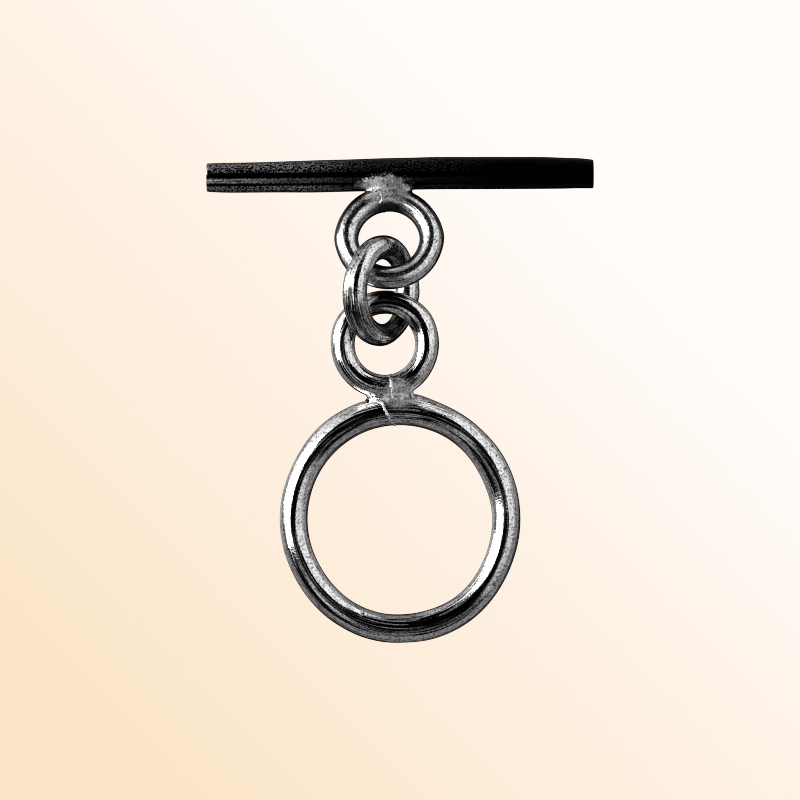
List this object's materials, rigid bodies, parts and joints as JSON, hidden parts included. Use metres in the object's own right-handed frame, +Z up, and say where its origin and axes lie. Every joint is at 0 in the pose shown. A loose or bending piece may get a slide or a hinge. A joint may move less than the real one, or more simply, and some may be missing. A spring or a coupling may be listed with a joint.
{
  "type": "toggle clasp",
  "caption": "Toggle clasp of plain round silver wire: a straight bar with a soldered loop, a free jump ring, and a large round ring with a soldered loop.",
  "frame": {"origin": "middle of the plan of the whole clasp as it lies, on the surface that it lies on", "axes": "+Z up from the surface, +Y from the clasp ring to the bar, +X along the bar to its short-tapered end"},
  "size_m": [0.0194, 0.0244, 0.0048],
  "materials": {
    "bar_silver": "polished silver wire with fine lengthwise draw lines, and a matte, mottled solder joint",
    "link_silver": "polished silver wire, lightly mottled",
    "ring_silver": "polished silver wire with small pits, a fine seam, and a matte, mottled solder joint"
  },
  "bodies": {
    "root": {"toggle_bar": "bar_silver", "jump_ring": "link_silver", "clasp_ring": "ring_silver"}
  },
  "joints": []
}
